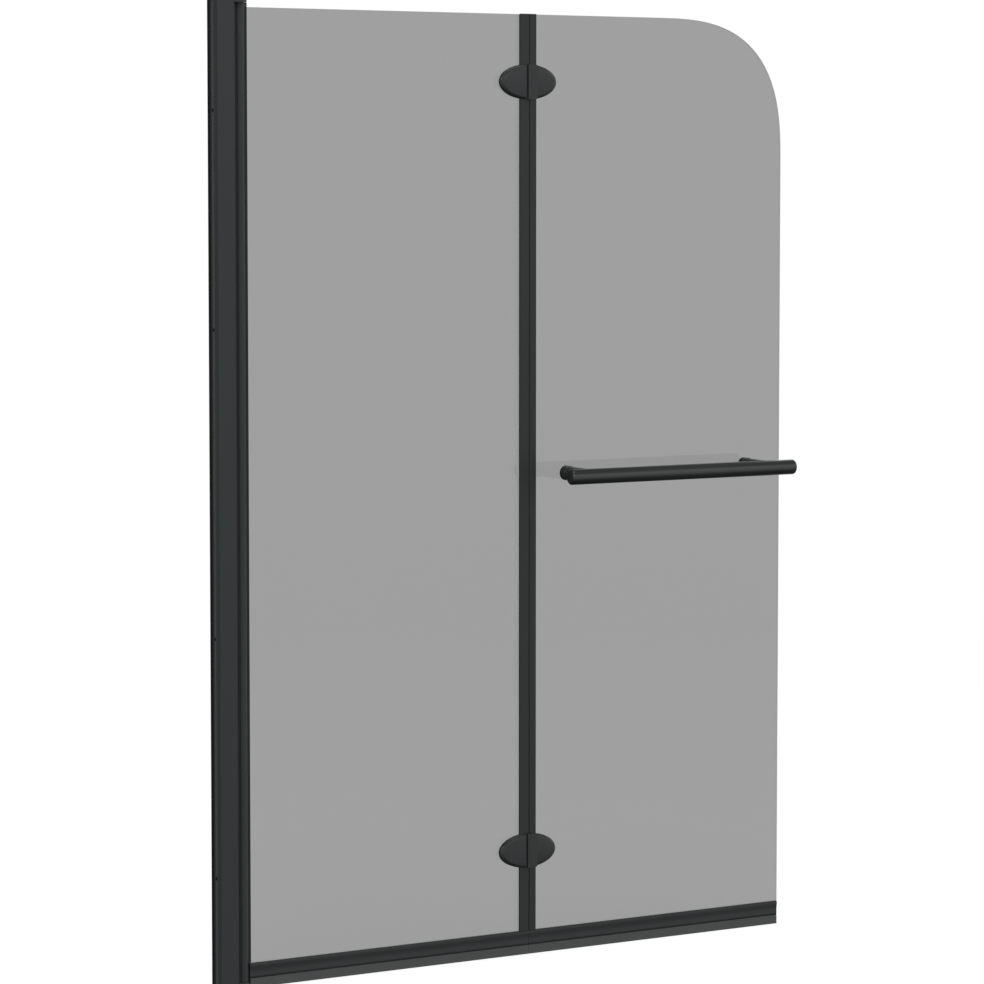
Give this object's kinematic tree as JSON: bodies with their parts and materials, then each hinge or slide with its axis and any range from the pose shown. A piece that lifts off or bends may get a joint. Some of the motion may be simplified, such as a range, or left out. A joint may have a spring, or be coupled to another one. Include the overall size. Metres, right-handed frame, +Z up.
{
  "type": "folding bath screen",
  "caption": "Folding glass shower screen for a bath: wall profile, inner pane that swings, outer pane with a rounded corner that folds, oval hinges, towel bar and drip rail.",
  "frame": {"origin": "on the wall face, at the middle of the wall profile's depth, level with the profile's lower end", "axes": "+X from the wall along the panes to the free edge, -Y the front with the towel bar, +Y the bath side, +Z up"},
  "size_m": [0.96, 0.1068, 1.4],
  "materials": {
    "black_profile": "satin black powder coat",
    "black_metal": "satin black powder coat",
    "black_moulding": "satin black moulding",
    "glass": "clear grey, polished edges",
    "seal_rubber": "matt",
    "drip_seal": "soft dark grey",
    "nylon": "smooth",
    "steel": "plain stainless"
  },
  "bodies": {
    "wall_side": {"wall_profile": "black_profile", "adjusting_profile": "black_profile", "jaw_seal_front": "seal_rubber", "jaw_seal_rear": "seal_rubber", "top_end_cap": "black_moulding", "bottom_end_cap": "black_moulding", "top_pivot_bush": "nylon", "bottom_pivot_bush": "nylon", "side_clamp_screws": "steel", "end_cap_screws": "steel"},
    "inner_panel": {"inner_glass": "glass", "pivot_profile": "black_profile", "pivot_profile_gasket": "seal_rubber", "top_pivot_plug": "black_moulding", "bottom_pivot_plug": "black_moulding", "top_pivot_pin": "steel", "bottom_pivot_pin": "steel", "inner_fold_profile": "black_profile", "inner_fold_gasket": "seal_rubber", "fold_lip_seal": "seal_rubber", "inner_bottom_rail": "black_profile", "inner_rail_gasket": "seal_rubber", "inner_drip_seal": "drip_seal", "upper_hinge_inner_front_plate": "black_metal", "lower_hinge_inner_front_plate": "black_metal", "upper_hinge_inner_rear_leaf": "black_metal", "lower_hinge_inner_rear_leaf": "black_metal", "upper_hinge_inner_pads": "seal_rubber", "lower_hinge_inner_pads": "seal_rubber", "hinge_inner_bushings": "nylon", "hinge_inner_screws": "steel", "upper_hinge_pin": "steel", "lower_hinge_pin": "steel", "hinge_thrust_washers": "nylon"},
    "outer_panel": {"outer_glass": "glass", "outer_fold_profile": "black_profile", "outer_fold_gasket": "seal_rubber", "outer_bottom_rail": "black_profile", "outer_rail_gasket": "seal_rubber", "outer_drip_seal": "drip_seal", "outer_rail_end_plug": "black_moulding", "upper_hinge_outer_front_plate": "black_metal", "lower_hinge_outer_front_plate": "black_metal", "upper_hinge_outer_rear_leaf": "black_metal", "lower_hinge_outer_rear_leaf": "black_metal", "upper_hinge_outer_pads": "seal_rubber", "lower_hinge_outer_pads": "seal_rubber", "hinge_outer_bushings": "nylon", "hinge_outer_screws": "steel", "towel_bar_tube": "black_metal", "towel_bar_left_cap": "black_metal", "towel_bar_right_cap": "black_metal", "towel_bar_left_post": "black_metal", "towel_bar_right_post": "black_metal", "towel_bar_front_washers": "seal_rubber", "towel_bar_glass_bushes": "nylon", "towel_bar_rear_washers": "nylon", "towel_bar_rear_caps": "black_metal", "towel_bar_screws": "steel"}
  },
  "joints": [
    {"name": "wall_pivot", "type": "hinge", "parent": "wall_side", "child": "inner_panel", "pos_m": [0.0413, 0, 0.7], "axis": [0, 0, 1], "range_deg": [-80, 90]},
    {"name": "fold_hinge", "type": "hinge", "parent": "inner_panel", "child": "outer_panel", "pos_m": [0.511, 0.013, 0.7], "axis": [0, 0, 1], "range_deg": [0, 180]}
  ]
}
